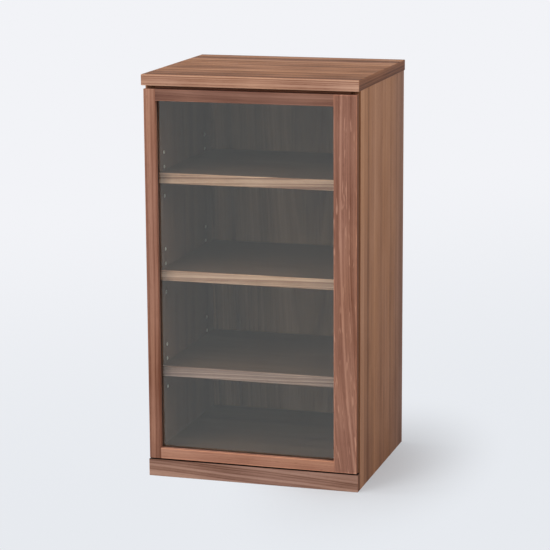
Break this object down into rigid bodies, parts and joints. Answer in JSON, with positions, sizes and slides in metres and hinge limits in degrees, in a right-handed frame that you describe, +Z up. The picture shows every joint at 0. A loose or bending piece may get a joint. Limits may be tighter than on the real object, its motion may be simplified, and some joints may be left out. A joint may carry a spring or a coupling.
{
  "type": "glass-front cabinet",
  "caption": "Small upright walnut cabinet with a framed grey glass door on concealed hinges, a push latch and adjustable shelves inside.",
  "frame": {"origin": "on the floor, under the middle of the cabinet's plan", "axes": "+X to the cabinet's right seen from the front, +Y to its back, +Z up"},
  "size_m": [0.448, 0.383, 0.83],
  "materials": {
    "walnut_top": "satin oiled walnut veneer, grain across",
    "walnut_side": "satin oiled walnut veneer, grain upright",
    "walnut_inside": "matt walnut veneer, grain upright",
    "walnut_tie": "matt walnut veneer, grain across",
    "walnut_plinth": "satin oiled walnut, grain across",
    "walnut_frame": "satin oiled solid walnut",
    "shelf_board": "matt walnut veneer, grain across",
    "shelf_edge": "pale satin walnut lipping",
    "base_wood": "plain planed softwood",
    "dowel_wood": "fluted beech",
    "grey_glass": "grey tinted polished glass",
    "gasket": "dark brown glazing gasket",
    "bead_wood": "satin walnut bead",
    "socket_metal": "bright nickel plate",
    "pin_metal": "turned steel",
    "cam_metal": "zinc casting",
    "screw_metal": "zinc plate",
    "hinge_metal": "satin nickel plate",
    "latch_plastic": "brown moulded plastic",
    "plunger_plastic": "pale grey moulded plastic",
    "magnet": "dull sintered magnet",
    "spring_steel": "bright spring wire"
  },
  "bodies": {
    "cabinet": {"top_board": "walnut_top", "side_panel_left": "walnut_side", "side_panel_right": "walnut_side", "carcass_top": "walnut_tie", "bottom_panel": "walnut_tie", "back_panel": "walnut_inside", "plinth_board": "walnut_plinth", "rear_stretcher": "base_wood", "plinth_blocks": "base_wood", "shelf_sockets": "socket_metal", "shelf_pins": "pin_metal", "carcass_dowels": "dowel_wood", "cam_bolts": "cam_metal", "cam_locks": "cam_metal", "top_board_screws": "screw_metal", "back_panel_screws": "screw_metal", "hinge_arms": "hinge_metal", "hinge_arm_screws": "screw_metal", "latch_housing": "latch_plastic"},
    "shelf_lower_body": {"shelf_lower": "shelf_board", "shelf_lipping_lower": "shelf_edge"},
    "shelf_middle_body": {"shelf_middle": "shelf_board", "shelf_lipping_middle": "shelf_edge"},
    "shelf_upper_body": {"shelf_upper": "shelf_board", "shelf_lipping_upper": "shelf_edge"},
    "door": {"door_stile_left": "walnut_frame", "door_stile_right": "walnut_frame", "door_rail_top": "walnut_frame", "door_rail_bottom": "walnut_frame", "door_glass": "grey_glass", "glazing_gasket": "gasket", "glazing_beads": "bead_wood", "hinge_housings": "hinge_metal", "hinge_housing_screws": "screw_metal", "hinge_pins": "hinge_metal", "strike_plate": "screw_metal"},
    "latch": {"latch_plunger": "plunger_plastic", "latch_magnet": "magnet", "latch_spring": "spring_steel"}
  },
  "joints": [
    {"name": "door_swing", "type": "hinge", "parent": "cabinet", "child": "door", "pos_m": [0.213, -0.179, 0.42], "axis": [0, 0, 1], "range_deg": [0, 95]},
    {"name": "latch_push", "type": "slide", "parent": "cabinet", "child": "latch", "axis": [0, 1, 0], "range_m": [0, 0.0015], "stiffness_N_per_m": 300, "springref_m": -0.005, "deforming": ["latch_spring"]},
    {"name": "shelf_lower_lift", "type": "slide", "parent": "cabinet", "child": "shelf_lower_body", "axis": [0, 0, 1], "range_m": [0, 0.02]},
    {"name": "shelf_middle_lift", "type": "slide", "parent": "cabinet", "child": "shelf_middle_body", "axis": [0, 0, 1], "range_m": [0, 0.02]},
    {"name": "shelf_upper_lift", "type": "slide", "parent": "cabinet", "child": "shelf_upper_body", "axis": [0, 0, 1], "range_m": [0, 0.02]}
  ]
}
